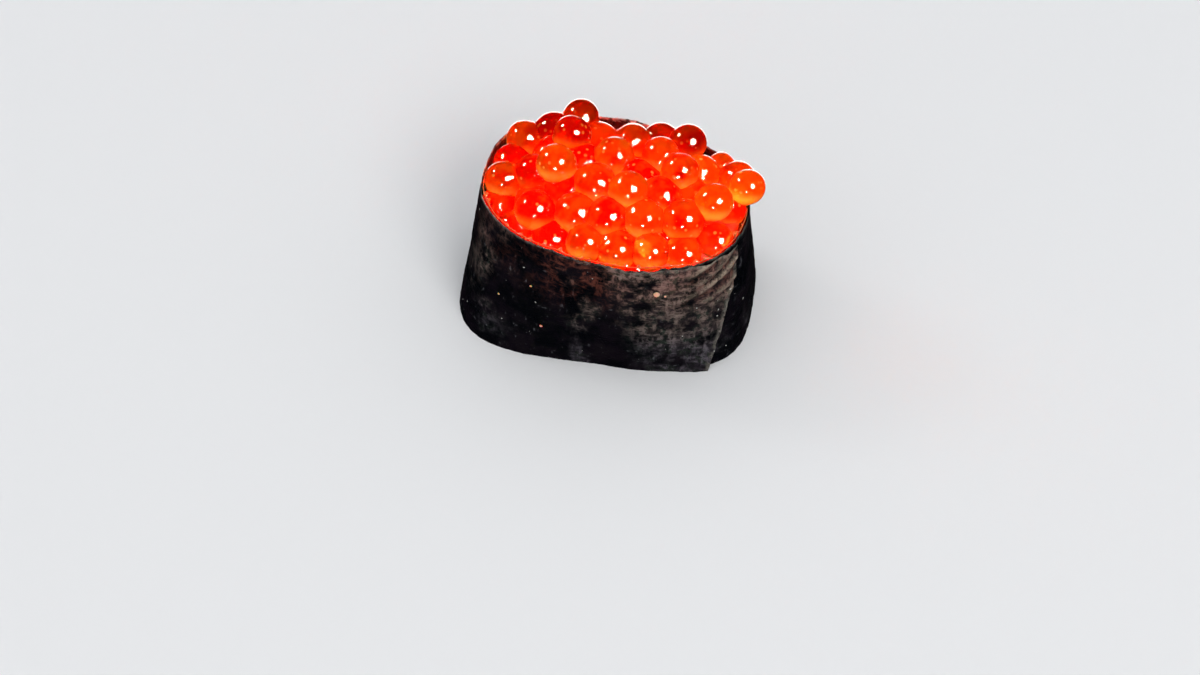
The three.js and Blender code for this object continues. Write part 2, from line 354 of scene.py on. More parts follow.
@dataclass(frozen=True)
class RoeFinish(WetFinish):
    """Salmon egg: a clear wet skin over orange-red liquid, with a painted caustic glow on its low side
    and painted shade on the crest, the back eggs and between the eggs.
    """

    upper_orange: Colour = (0.84, 0.135, 0.003)
    upper_red: Colour = (0.60, 0.007, 0.001)
    caustic_orange: Colour = (1.0, 0.95, 0.12)
    caustic_red: Colour = (1.0, 0.48, 0.02)
    crevice_shade: Colour = (0.66, 0.010, 0.001)
    oil_and_glint: Colour = (1.0, 0.58, 0.10)
    dark: Colour = (0.36, 0.003, 0.0005)
    lamp_tint: Colour = (1.0, 0.5, 0.2)
    clear: float = 0.62
    sheen: float = 0.35
    cloud: Grain = (330.0, 2.0, 0.5)
    skin: Grain = (700.0, 2.0, 0.5)
    oil_and_glint_drops: float = 620.0
    cloud_tone: Band = (0.3, 0.7, -0.5, 0.5)
    caustic_side: Band = (0.49, 0.86)
    crevice_shade_cloud: Band = (0.25, 0.55, 0.28, 0.70)
    oil_and_glint_size: Band = (0.24, 0.10)
    oil_and_glint_cloud: Band = (0.40, 0.60)

    def material(self) -> bpy.types.Material:
        """Makes the material.

        Returns:
            The material, which reads the eggs' tone, their low side for the painted caustic glow, deep
            for the painted shade of the crest and back eggs, and the crevice share for painted shade
            between the eggs.
        """
        shade = Shade("salmon_egg")
        where = shade.place()
        cloud = shade.noise(where, *self.cloud)
        skin = shade.noise(where, *self.skin)
        tone = (shade.attribute("tone") + cloud.band(*self.cloud_tone)).clamped()
        # Painted caustic: the egg's low side, away from the lamps, glows orange-yellow.
        low = shade.attribute("low").band(*self.caustic_side)
        upper = shade.mix(tone, self.upper_orange, self.upper_red)
        caustic_colour = shade.mix(tone, self.caustic_orange, self.caustic_red)
        # Painted shade: eggs that lie below the heap's top around them turn darker red.
        crevice_shade = shade.attribute("crevice_shade") * cloud.band(*self.crevice_shade_cloud)
        body = shade.mix(crevice_shade, shade.mix(low, upper, caustic_colour), self.crevice_shade)
        # Small yellow-orange spots: partly oil drops in the egg, partly painted glints.
        drops = shade.node("TexVoronoi", {}, {"Vector": where, "Scale": self.oil_and_glint_drops}, "Distance")
        body = shade.mix(drops.band(*self.oil_and_glint_size) * cloud.band(*self.oil_and_glint_cloud), body, self.oil_and_glint)
        # Painted shade: the crest eggs seen against the light and the back eggs turn dark red, except on
        # their low side.
        return self.wet(shade, shade.mix(shade.attribute("deep") * (1 - low), body, self.dark), skin)


@dataclass(frozen=True)
class BrineFinish(WetFinish):
    """Thin brine, tinted by the eggs."""

    tint: Colour = (1.0, 0.24, 0.10)
    skin: Grain = (900.0, 2.0, 0.55)

    def material(self) -> bpy.types.Material:
        """Makes the material."""
        shade = Shade("brine")
        return self.wet(shade, self.tint, shade.noise(shade.place(), *self.skin))


@dataclass(frozen=True)
class RoeCoreFinish:
    """The close-packed eggs deep in the heap."""

    deep: Colour = (0.85, 0.02, 0.003)
    light: Colour = (0.95, 0.07, 0.006)
    roughness: float = 0.25
    lumps: Grain = (260.0, 2.0, 0.4)
    light_lump: Band = (0.4, 0.65)
    relief: Relief = (0.6, 0.001)

    def material(self) -> bpy.types.Material:
        """Makes the material.

        Returns:
            The material.
        """
        shade = Shade("deep_roe")
        lumps = shade.noise(shade.place(), *self.lumps)
        return shade.solid({
            "Base Color": shade.mix(lumps.band(*self.light_lump), self.deep, self.light),
            "Roughness": self.roughness,
            "Normal": shade.bump(lumps, *self.relief),
        })


@dataclass(frozen=True)
class RiceFinish:
    """Cooked, seasoned rice: off-white, moist and faintly translucent."""

    pale: Colour = (0.86, 0.83, 0.76)
    warm: Colour = (0.78, 0.73, 0.62)
    cloud: Grain = (400.0, 3.0, 0.5)
    grain: Grain = (2600.0, 3.0, 0.6)
    warm_cloud: Band = (0.35, 0.7)
    rough_grain: Band = (0.3, 0.7, 0.3, 0.45)
    relief: Relief = (0.4, 0.00006)
    inside: float = 0.35
    scatter: float = 0.0012
    spread: Triple = (0.9, 0.8, 0.6)
    film: float = 0.25
    film_roughness: float = 0.15

    def material(self) -> bpy.types.Material:
        """Makes the material.

        Returns:
            The material.
        """
        shade = Shade("cooked_rice")
        where = shade.place()
        cloud = shade.noise(where, *self.cloud)
        grain = shade.noise(where, *self.grain)
        return shade.solid({
            "Base Color": shade.mix(cloud.band(*self.warm_cloud), self.pale, self.warm),
            "Roughness": grain.band(*self.rough_grain),
            "Subsurface Weight": self.inside,
            "Subsurface Radius": self.spread,
            "Subsurface Scale": self.scatter,
            "Coat Weight": self.film,
            "Coat Roughness": self.film_roughness,
            "Normal": shade.bump(grain, *self.relief),
        })


@dataclass(frozen=True)
class FloorFinish:
    """Plain pale ground."""

    pale: Colour = (0.80, 0.80, 0.79)
    roughness: float = 0.6

    def material(self) -> bpy.types.Material:
        """Makes the material."""
        values = {"Base Color": self.pale, "Roughness": self.roughness, "Specular IOR Level": 0.0}
        return Shade("pale_floor").solid(values)


# ---------------- curves and noise


def clamp(value: float, low: float = 0.0, high: float = 1.0) -> float:
    """The value kept between two limits."""
    return min(max(value, low), high)


def smoothstep(low: float, high: float, value: float) -> float:
    """Eased step from 0 at low to 1 at high."""
    share = clamp((value - low) / (high - low))
    return share * share * (3 - 2 * share)


def ease(low: float, high: float, phi: float) -> float:
    """Eased step of a direction in radians, its limits in degrees."""
    return smoothstep(math.radians(low), math.radians(high), phi)


def lerp(first: float, second: float, share: float) -> float:
    """Value between two others."""
    return first + (second - first) * share


def wavy(x: float, y: float, z: float) -> float:
    """Smooth noise around 0 at a place."""
    return noise.noise(Vector((x, y, z)))


def rough(x: float, y: float, z: float, octaves: int) -> float:
    """Fractal noise around 0 at a place."""
    return noise.fractal(Vector((x, y, z)), 1.0, 2.0, octaves)


# ---------------- the wrap's form


@dataclass(frozen=True)
class Oval:
    """A superellipse: half length, half width and squareness."""

    half_length: float
    half_width: float
    squareness: float

    def reach(self, phi: float) -> float:
        """Distance from the centre to the outline in a direction."""
        sides = (math.cos(phi) / self.half_length, math.sin(phi) / self.half_width)
        return sum(abs(side) ** self.squareness for side in sides) ** (-1 / self.squareness)


@dataclass(frozen=True)
class Wave:
    """A wave round the wrap: its count, its start and its slant up the wrap in radians."""

    count: float
    start: float
    slant: float = 0.0

    def at(self, phi: float, share: float = 0.0) -> float:
        """Its height from -1 to 1."""
        return math.sin(self.count * phi + self.start + self.slant * share)


@dataclass(frozen=True)
class WrapForm:
    """The wrap's outer surface in millimetres, wider and squarer at its foot."""

    foot: Oval = Oval(25.3, 17.3, 3.4)
    rim: Oval = Oval(23.0, 16.3, 2.3)
    twist: float = math.radians(-7.3)
    rim_x: float = 1.3
    rim_y: float = -0.4
    height: float = 25.7
    rim_wave: float = 0.35
    rim_tilt: Wave = Wave(1, math.pi / 2 - 2.6)
    rim_ripple: Wave = Wave(5, 0.0)
    ripple_share: float = 0.4
    wrinkle_depth: float = 0.22
    broad: Wave = Wave(5, 1.3, 2.1)
    slanting: Wave = Wave(11, 0.7, -4.0)
    slanting_share: float = 0.5
    wrinkle_room: float = 1.5
    normal_step: float = 0.004
    thickness: float = 0.5
    clearance: float = 0.32

    def share(self, z: float) -> float:
        """Height as a share of the rim's."""
        return clamp(z / self.height)

    def centre(self, z: float) -> tuple[float, float]:
        """Centre of the outline at a height."""
        share = self.share(z)
        return self.rim_x * share, self.rim_y * share

    def at(self, phi: float, z: float, radius: float) -> Vector:
        """Point at a direction, a height and a distance from the outline's centre."""
        x, y = self.centre(z)
        return Vector((x + radius * math.cos(phi), y + radius * math.sin(phi), z))

    def radius(self, phi: float, z: float) -> float:
        """Outer radius of the smooth wrap at a direction and a height."""
        return lerp(self.foot.reach(phi), self.rim.reach(phi - self.twist), self.share(z))

    def wrinkle(self, phi: float, share: float) -> float:
        """Height of the damp sheet's shallow waves at a share of the way up."""
        slanting = self.slanting_share * self.slanting.at(phi, share) * share
        return self.wrinkle_depth * (self.broad.at(phi, share) * math.sin(math.pi * share) + slanting)

    def rim_height(self, phi: float) -> float:
        """Height of the uneven rim."""
        wave = self.rim_tilt.at(phi) + self.ripple_share * self.rim_ripple.at(phi)
        return self.height + self.rim_wave * wave

    def point(self, phi: float, z: float) -> Vector:
        """Point of the wrinkled outer surface."""
        return self.at(phi, z, self.radius(phi, z) + self.wrinkle(phi, self.share(z)))

    def normal(self, phi: float, z: float) -> Vector:
        """Level outward direction of the outer surface."""
        along = self.point(phi + self.normal_step, z) - self.point(phi - self.normal_step, z)
        return Vector((along.y, -along.x, 0.0)).normalized()

    def inner_radius(self, phi: float, z: float) -> float:
        """Radius left free inside the wrap."""
        room = self.wrinkle_room * self.wrinkle_depth
        return self.radius(phi, z) - room - self.thickness - self.clearance


# ---------------- mesh helpers


def unit_grid(bm: bmesh.types.BMesh, columns: int, rows: int) -> list[tuple[Any, float, float]]:
    """Adds a grid to bend: each vertex with its shares of the way along and up."""
    made = bmesh.ops.create_grid(bm, x_segments=columns, y_segments=rows, size=0.5)["verts"]
    return [(vert, vert.co.x + 0.5, vert.co.y + 0.5) for vert in made]


def layers(bm: bmesh.types.BMesh, *names: str) -> list[Any]:
    """Adds a number to every vertex under each name."""
    return [bm.verts.layers.float.new(name) for name in names]


def close_up(bm: bmesh.types.BMesh) -> None:
    """Joins the corners that meet and turns the faces outwards."""
    bmesh.ops.remove_doubles(bm, verts=bm.verts[:], dist=WELD)
    bmesh.ops.recalc_face_normals(bm, faces=bm.faces[:])


def make_piece(
    name: str,
    bm: bmesh.types.BMesh,
    material: bpy.types.Material,
    slot: Optional[Slot] = None,
) -> bpy.types.Object:
    """Turns a bmesh in millimetres into an object at the origin.

    Args:
        name: The object's name.
        bm: The mesh, which is freed.
        material: Its material.
        slot: The record's slot, only tested for being given: a piece with one rides on the root body.

    Returns:
        The object, riding on the root body unless it has no slot.
    """
    bmesh.ops.scale(bm, vec=(MM, MM, MM), verts=bm.verts)
    mesh = bpy.data.meshes.new(name)
    bm.to_mesh(mesh)
    bm.free()
    mesh.shade_smooth()
    mesh.materials.append(material)
    made = bpy.data.objects.new(name, mesh)
    bpy.context.scene.collection.objects.link(made)
    if slot is not None:
        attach(made, "root")
    return made


# ---------------- nori


@dataclass
class NoriStrip:
    """One strip of nori wound round the rice, its free end lapped over its first stretch."""

    form: WrapForm
    inner_end: float = math.radians(-64)
    outer_end: Pair = (math.radians(-38.5), math.radians(-20.5))
    end_wave: float = math.radians(0.9)
    end_grain: float = 7.0
    lap_gap: float = 0.14
    lap_ease: float = math.radians(30)
    lap_end: float = 0.02
    lift_ease: float = math.radians(15)
    lift_end: float = 0.1
    lift: Pair = (0.9, 0.2)
    steps_along: int = 600
    steps_up: int = 72
    sheet: float = 0.34
    crumple: float = 0.10
    crumple_grain: float = 0.17
    pebble: float = 0.07
    pebble_grain: float = 0.85
    pebble_rise: float = 0.8
    layer_shift: float = 3.0
    ragged: float = 0.26
    ragged_grain: float = 14.0
    corner: float = 1.3
    corner_run: float = 0.02
    edge_run: float = 6.0
    edge_reach: float = 0.03
    fold_depth: float = 0.42
    fold_pitch: float = 3.4
    fold_slant: float = 1.0
    fold_wander: float = 0.5
    fold_mean: float = 0.75
    fold_unevenness: float = 0.9
    fold_least: float = 0.15
    fold_turn: Pair = (34.0, 14.0)  # degrees
    fold_rise: Pair = (0.48, 0.70)
    wander_grain: Pair = (0.9, 0.12)
    uneven_grain: Pair = (0.8, 0.1)
    ridge_sharpness: int = 3
    patch_grain: Pair = (2.1, 3.0)
    sheen_start: Pair = (290.0, 262.0)  # degrees
    sheen_ease: float = 20.0  # degrees
    sheen_rise: Pair = (0.6, 0.95)
    sheen_patch: Pair = (0.7, 1.25)
    stray_patch: Pair = (0.62, 0.85)
    stray_share: float = 0.5
    left_patch: Pair = (0.46, 0.70)
    left_share: float = 0.3
    fold_highlight: float = 0.4
    groove_shade: float = 0.7
    left_start: Pair = (150.0, 185.0)  # degrees
    left_finish: Pair = (246.0, 226.0)  # degrees
    roe_reflection_rise: Pair = (0.45, 0.92)
    roe_reflection_start: Pair = (0.0, 0.8)  # radians
    roe_reflection_lost: float = 0.8
    pale_edge_start: Pair = (50.0, 80.0)  # degrees
    pale_edge_finish: Pair = (212.0, 190.0)  # degrees
    damp_edge: float = 0.24

    def _relief(self, place: Vector, phi: float) -> float:
        """Height of the sheet's own relief, never positive.

        Args:
            place: Point of the smooth surface in millimetres.
            phi: Its direction, which keeps the two layers of the lap apart.

        Returns:
            The height in millimetres.
        """
        broad = noise.fractal(place * self.crumple_grain, 1.0, 2.0, 3)
        shifted = Vector((place.x, place.y, place.z * self.pebble_rise + self.layer_shift * phi))
        fine = noise.fractal(shifted * self.pebble_grain, 0.8, 2.1, 4)
        return self.crumple * (broad - 1) + self.pebble * (fine - 1)

    def _outer_end(self, share: float) -> float:
        """Direction of the free end, which runs slanting and a little wavy up the wrap."""
        wave = self.end_wave * rough(self.end_grain * share, 2.0, 9.0, 4)
        return lerp(*self.outer_end, share) + wave + TURN

    def _creased(self, phi: float, share: float) -> float:
        """1 where the sheet is folded, at the top beside the free end, and 0 elsewhere."""
        near = ease(*self.fold_turn, self._outer_end(share) - phi)
        return near * smoothstep(*self.fold_rise, share)

    def _fold(self, phi: float, share: float) -> float:
        """Height of the slanting folds beside the free end.

        Args:
            phi: Direction in radians.
            share: Share of the way up the strip.

        Returns:
            The height as a share of the folds' depth.
        """
        along = (self._outer_end(share) - phi) * self.form.rim.half_width
        turn = (share * self.form.height + self.fold_slant * along) / self.fold_pitch
        (across_grain, along_grain), (uneven_across, uneven_along) = self.wander_grain, self.uneven_grain
        turn += self.fold_wander * wavy(across_grain * turn, along_grain * along, 3.0)
        uneven = self.fold_unevenness * wavy(uneven_across * turn, uneven_along * along, 8.0)
        strength = clamp(self.fold_mean + uneven, self.fold_least)
        return self._creased(phi, share) * strength * (0.5 + 0.5 * math.cos(TURN * turn))

    def _worn_and_sheen(self, phi: float, share: float) -> float:
        """How far the sheet's colour is lifted to grey, rose and green: partly faded patches, most of all
        a painted sheen on the lit stretch before its free end, with painted highlights on the fold ridges
        and painted shade in the grooves.

        Args:
            phi: Direction in radians.
            share: Share of the way up the strip.

        Returns:
            A value from 0 to 1.
        """
        round_grain, up_grain = self.patch_grain
        patch = 0.5 + 0.5 * rough(round_grain * phi, up_grain * share, 7.0, 3)
        near = lerp(*self.sheen_start, share)
        lap = ease(near, near + self.sheen_ease, phi) * lerp(*self.sheen_rise, share)
        stray = self.stray_share * smoothstep(*self.stray_patch, patch)
        left = self.left_share * self._left_end(phi) * smoothstep(*self.left_patch, patch)
        # Painted highlights on the fold ridges and painted shade in the grooves between them.
        fold, creased = self._fold(phi, share), self._creased(phi, share)
        faded_and_sheen = lap * lerp(*self.sheen_patch, patch) + stray + left + self.fold_highlight * fold
        return min(faded_and_sheen, 1.0) * (1 - self.groove_shade * (creased - fold))

    def _left_end(self, phi: float) -> float:
        """1 round the left end and 0 elsewhere."""
        return ease(*self.left_start, phi) * ease(*self.left_finish, phi)

    def _roe_reflection(self, phi: float, share: float) -> float:
        """Share of the painted reddish reflection of the roe, in a band under the rim that fades out
        round the left end.
        """
        band = smoothstep(*self.roe_reflection_rise, share) * smoothstep(*self.roe_reflection_start, phi)
        return band * (1 - self.roe_reflection_lost * self._left_end(phi))

    def _frayed_and_highlit(self, phi: float) -> float:
        """How pale the cut edge is: frayed fibres and a painted highlight along the rim round the back
        and the left end, less pale where the roe wets it.
        """
        return lerp(self.damp_edge, 1.0, ease(*self.pale_edge_start, phi) * ease(*self.pale_edge_finish, phi))

    def surface(self, run: float, share: float) -> tuple[Vector, float]:
        """Place of a point of the strip on the wound sheet.

        Args:
            run: Share of the way along the strip.
            share: Share of the way up the strip.

        Returns:
            The point in millimetres and its direction phi.
        """
        form, outer_end = self.form, self._outer_end(share)
        phi = lerp(self.inner_end, outer_end, run)
        frays = self.ragged * rough(self.ragged_grain * phi, 0.3, 2.0, 4)
        frays -= self.corner * smoothstep(self.corner_run, 0.0, run)
        z = share * (form.rim_height(phi) + frays)
        lap_start = self.inner_end + TURN
        lap = smoothstep(lap_start - self.lap_ease, lap_start - self.lap_end, phi)
        curl = smoothstep(outer_end - self.lift_ease, outer_end + self.lift_end, phi)
        place = form.point(phi, z)
        out = (self.sheet + self.lap_gap) * lap + lerp(*self.lift, share) * curl
        out += self.fold_depth * self._fold(phi, share)
        return place + form.normal(phi, z) * (out + self._relief(place, phi)), phi

    def build(self) -> bpy.types.Object:
        """Makes the strip as one closed thin sheet.

        Returns:
            The object, which replaces the plain strip.
        """
        bm = bmesh.new()
        edge, worn_and_sheen, roe_reflection, ridge = layers(bm, "cut_edge", "worn_and_sheen", "roe_reflection", "ridge")
        for vert, run, share in unit_grid(bm, self.steps_along, self.steps_up):
            border = min(run * self.edge_run, (1 - run) * self.edge_run, 1 - share)
            vert.co, phi = self.surface(run, share)
            # Pale cut edge: frayed fibres and a painted highlight along the rim.
            vert[edge] = smoothstep(self.edge_reach, 0.0, border) * self._frayed_and_highlit(phi)
            # Partly fading, mostly painted sheen and fold highlights, with painted shade in the grooves.
            vert[worn_and_sheen] = self._worn_and_sheen(phi, share)
            # Painted reflection of the roe, in a band under the rim.
            vert[roe_reflection] = self._roe_reflection(phi, share)
            # Painted highlight on the fold ridges.
            vert[ridge] = self._fold(phi, share) ** self.ridge_sharpness
        bmesh.ops.solidify(bm, geom=bm.faces[:], thickness=self.sheet)
        for vert in bm.verts:
            vert.co.z = max(vert.co.z, 0.0)
        bmesh.ops.recalc_face_normals(bm, faces=bm.faces[:])
        made = make_piece("nori_strip", bm, NoriFinish().material(), Slot.NORI)
        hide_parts("nori")
        return made


# ---------------- rice


@dataclass
class RiceBlock:
    """Pressed rice inside the foot of the wrap, its grains open to view underneath."""

    form: WrapForm
    top: float = 14.5
    core_floor: float = 1.1
    core_inset: float = 1.3
    core_rounding: float = 0.8
    cap_inset: float = 2.0
    edge_angle: float = 1.0
    grain_length: float = 5.3
    grain_width: float = 2.9
    grain_height: float = 2.3
    grain_sizes: Pair = (0.86, 1.1)
    grain_tip: float = 0.22
    grain_inset: float = 1.1
    spacing: float = 2.75
    scatter: float = 1.0
    layer_count: int = 2
    layer_shift: float = 1.4
    layer_floor: float = 1.05
    layer_step: float = 1.7
    seed: int = 11

    def _fits(self, x: float, y: float) -> bool:
        """True where a grain's middle lies inside the foot of the wrap."""
        free = self.form.inner_radius(math.atan2(y, x), 0.0) - self.grain_inset
        return math.hypot(x, y) < free

    def build_grains(self) -> bpy.types.Object:
        """Makes the grains of the underside as one mesh.

        Returns:
            The object.
        """
        dice = np.random.default_rng(self.seed)
        bm = bmesh.new()
        foot, spread = self.form.foot, self.scatter
        for layer in range(self.layer_count):
            z = self.layer_floor + self.layer_step * layer
            for across in np.arange(-foot.half_width, foot.half_width, self.spacing):
                for along in np.arange(-foot.half_length, foot.half_length, self.spacing):
                    x, y = (along, across) + dice.uniform(-spread, spread, 2) + layer * self.layer_shift
                    turn, tip = dice.uniform(0, math.pi), dice.normal(0, self.grain_tip)
                    size = dice.uniform(*self.grain_sizes)
                    if self._fits(x, y):
                        self._grain(bm, (x, y, z), turn, tip, size)
        return make_piece("rice_grains", bm, RiceFinish().material(), Slot.RICE)

    def _grain(
        self, bm: bmesh.types.BMesh, centre: Triple, turn: float, tip: float, size: float
    ) -> None:
        """Adds one grain, pressed flat where it meets the board and the wrap.

        Args:
            bm: The mesh.
            centre: Its middle in millimetres.
            turn: Its heading in radians.
            tip: Its tilt in radians.
            size: Its share of the full size.
        """
        made = bmesh.ops.create_uvsphere(bm, u_segments=7, v_segments=6, radius=0.5)["verts"]
        full = Vector((self.grain_length, self.grain_width, self.grain_height)) * size
        shape = (
            Matrix.Translation(centre)
            @ Matrix.Rotation(turn, 4, "Z")
            @ Matrix.Rotation(tip, 4, "Y")
            @ Matrix.Diagonal((*full, 1.0))
            @ Matrix.Rotation(math.pi / 2, 4, "Y")
        )
        bmesh.ops.transform(bm, matrix=shape, verts=made)
        for vert in made:
            vert.co.z = max(vert.co.z, 0.0)
            reach = math.hypot(vert.co.x, vert.co.y)
            free = self.form.inner_radius(math.atan2(vert.co.y, vert.co.x), vert.co.z)
            if reach > free:
                vert.co.xy *= free / reach

    def build_core(self) -> bpy.types.Object:
        """Makes the block that holds the grains together.

        Returns:
            The object, which replaces the plain block.
        """
        bm = bmesh.new()
        bmesh.ops.create_cone(bm, cap_ends=True, segments=96, radius1=1.0, radius2=1.0, depth=1.0)
        for vert in bm.verts:
            z = lerp(self.core_floor, self.top, vert.co.z + 0.5)
            phi = math.atan2(vert.co.y, vert.co.x)
            vert.co = self.form.at(phi, z, self.form.inner_radius(phi, z) - self.core_inset)
        caps = [face for face in bm.faces if len(face.verts) > 4]
        bmesh.ops.inset_region(bm, faces=caps, thickness=self.cap_inset)
        bmesh.ops.bevel(
            bm,
            geom=[edge for edge in bm.edges if edge.calc_face_angle(0.0) > self.edge_angle],
            offset=self.core_rounding,
            affect="EDGES",
            segments=3,
            profile=0.5,
            material=-1,
        )
        made = make_piece("rice_core", bm, RiceFinish().material(), Slot.RICE)
        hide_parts("rice")
        return made


# ---------------- roe


class Dice:
    """Repeatable random numbers from 0 to 1."""

    FACTOR = 1664525
    STEP = 1013904223
    SPAN = 2**32

    def __init__(self, seed: int) -> None:
        """Starts the row of numbers."""
        self.state = seed

    def roll(self) -> float:
        """The next number."""
        self.state = (self.state * self.FACTOR + self.STEP) % self.SPAN
        return self.state / self.SPAN

    def spread(self, width: float) -> float:
        """A number up to half a width to either side of 0."""
        return width * (self.roll() - 0.5)


@dataclass
class Egg:
    """One egg's centre and radius in millimetres."""

    x: float
    y: float
    z: float
    radius: float
    fixed: bool

    @property
    def centre(self) -> Triple:
        """Its centre."""
        return self.x, self.y, self.z

    def distance(self, other: "Egg") -> float:
        """Distance between two centres."""
        return math.dist(self.centre, other.centre)


PINNED_EGGS = (
    (-6.5, 12.7, 29.1), (-11.0, 10.6, 27.2), (-7.3, 7.0, 31.0), (-15.7, 8.8, 26.4), (-17.3, 4.2, 25.0),
    (-18.0, -0.8, 26.2), (2.9, 8.9, 28.4), (2.3, 12.6, 24.4), (7.3, 12.0, 26.0), (12.2, 10.6, 27.8),
    (8.2, 5.0, 30.2), (12.0, 1.4, 30.8), (15.2, 3.9, 28.0), (18.6, 7.4, 25.4), (21.5, 4.0, 27.4),
    (23.6, 0.5, 29.5), (-18.6, -4.0, 22.6), (-14.9, -8.9, 23.2), (-8.2, -11.3, 24.1), (-2.1, -12.6, 25.8),
    (3.4, -13.1, 25.4), (9.0, -12.8, 25.6), (14.5, -11.6, 24.4), (19.4, -7.5, 23.9), (20.7, -1.5, 25.4),
)


@dataclass
class EggPacking:
    """Eggs laid in rings inside the rim and let settle against each other."""

    form: WrapForm
    egg_radius: float = 3.05
    pinned_size_spread: float = 0.06
    size_spread: float = 0.12
    level_spread: float = 0.9
    height_spread: float = 1.2
    packing: float = 0.93
    spacing: float = 5.75
    least_spacing: float = 3.6
    wall_gap: float = 0.1
    least_ring: float = 1.0
    outline_steps: int = 120
    top_ring_drop: float = 0.3
    layer_step: float = 4.4
    ring_step: float = 5.0
    crown_step: float = 0.7
    layers: int = 3
    rings: int = 4
    rounds: int = 240
    sink_step: float = 0.13
    seed: int = 128
    floor: float = 14.5 + 0.32
    floor_press: float = 0.9
    dip: Pair = (-2.0, 13.5)
    dip_reach: float = 4.2

    def _ring(self, inset: float, z: float, start: float) -> np.ndarray:
        """Places spaced evenly along the outline at an inset from the wrap.

        Args:
            inset: Distance in from the wrap in millimetres.
            z: Height in millimetres.
            start: Where the first place lies, as a share of their spacing.

        Returns:
            The places in millimetres, one in each row.
        """
        turns = np.linspace(0.0, TURN, self.outline_steps + 1)
        radii = np.array([self.form.radius(phi, z) for phi in turns]) - inset
        corners = np.column_stack((np.cos(turns), np.sin(turns))) * radii[:, None]
        corners += self.form.centre(z)
        lengths = np.append(0.0, np.hypot(*np.diff(corners, axis=0).T).cumsum())
        count = max(1, math.floor(lengths[-1] / self.spacing))
        runs = (np.arange(count) + start) / count * lengths[-1]
        return np.column_stack([np.interp(runs, lengths, part) for part in corners.T])

    def _taken(self, egg: Egg, eggs: list[Egg], layer: int) -> bool:
        """True where an egg would crowd those laid before or fill the dip in the top layer."""
        in_dip = layer == 0 and math.dist((egg.x, egg.y), self.dip) < self.dip_reach
        return in_dip or any(egg.distance(other) <= self.least_spacing for other in eggs)

    def _laid(self) -> list[Egg]:
        """Lays eggs in rings, layer by layer, around the pinned eggs.

        Returns:
            The eggs before they settle.
        """
        dice = Dice(self.seed)
        radius, form = self.egg_radius, self.form
        pinned = self.pinned_size_spread
        eggs = [Egg(*place, radius * (1 + dice.spread(pinned)), True) for place in PINNED_EGGS]
        for layer in range(self.layers):
            for ring in range(self.rings):
                inset = form.thickness + form.clearance + radius + self.wall_gap + ring * self.ring_step
                crown = self.crown_step * ring if layer == 0 else 0
                height = form.height - self.top_ring_drop - self.layer_step * layer + crown
                if inset > form.rim.half_width - self.least_ring:
                    continue
                for x, y in self._ring(inset, min(height, form.height), dice.roll()):
                    egg = Egg(
                        x + dice.spread(self.level_spread),
                        y + dice.spread(self.level_spread),
                        height + dice.spread(self.height_spread),
                        radius * (1 + dice.spread(self.size_spread)),
                        False,
                    )
                    if not self._taken(egg, eggs, layer):
                        eggs.append(egg)
        return eggs

    def _separate(self, a: Egg, b: Egg) -> None:
        """Pushes two touching eggs apart, moving only those that are free.

        Args:
            a: The first egg.
            b: The second egg.
        """
        dx, dy, dz = a.x - b.x, a.y - b.y, a.z - b.z
        reach = (a.radius + b.radius) * self.packing
        square = dx * dx + dy * dy + dz * dz
        if not 0 < square < reach * reach or (a.fixed and b.fixed):
            return
        apart = math.sqrt(square)
        push = (reach - apart) / apart
        share = 0.0 if a.fixed else 1.0 if b.fixed else 0.5
        for egg, part in ((a, push * share), (b, push * (share - 1))):
            egg.x += dx * part
            egg.y += dy * part
            egg.z += dz * part

    def _contain(self, egg: Egg) -> None:
        """Keeps a free egg above the rice and inside the wrap, or resting over its rim.

        Args:
            egg: The egg, which is moved.
        """
        form = self.form
        egg.z = max(egg.z, self.floor + egg.radius * self.floor_press)
        x, y = form.centre(egg.z)
        free = form.radius(math.atan2(egg.y - y, egg.x - x), egg.z) - form.thickness - form.clearance
        reach = math.hypot(egg.x - x, egg.y - y)
        out, up = reach - free - form.clearance, egg.z - form.height
        apart, need = math.hypot(out, up), egg.radius + form.clearance
        scale = 1.0
        if up <= 0 and reach > free - egg.radius:
            scale = (free - egg.radius) / reach
        elif up > 0 and apart < need:
            scale = (free + form.clearance + out / apart * need) / reach
            egg.z = form.height + up / apart * need
        egg.x, egg.y = x + (egg.x - x) * scale, y + (egg.y - y) * scale

    def settled(self) -> list[Egg]:
        """Lets the eggs sink and push each other apart.

        Returns:
            The eggs where they come to rest.
        """
        eggs = self._laid()
        free = [egg for egg in eggs if not egg.fixed]
        for step in range(self.rounds):
            sink = self.sink_step * (1 - step / self.rounds)
            for egg in free:
                egg.z -= sink
            for first, egg in enumerate(eggs):
                for other in eggs[first + 1 :]:
                    self._separate(egg, other)
            for egg in free:
                self._contain(egg)
        return eggs


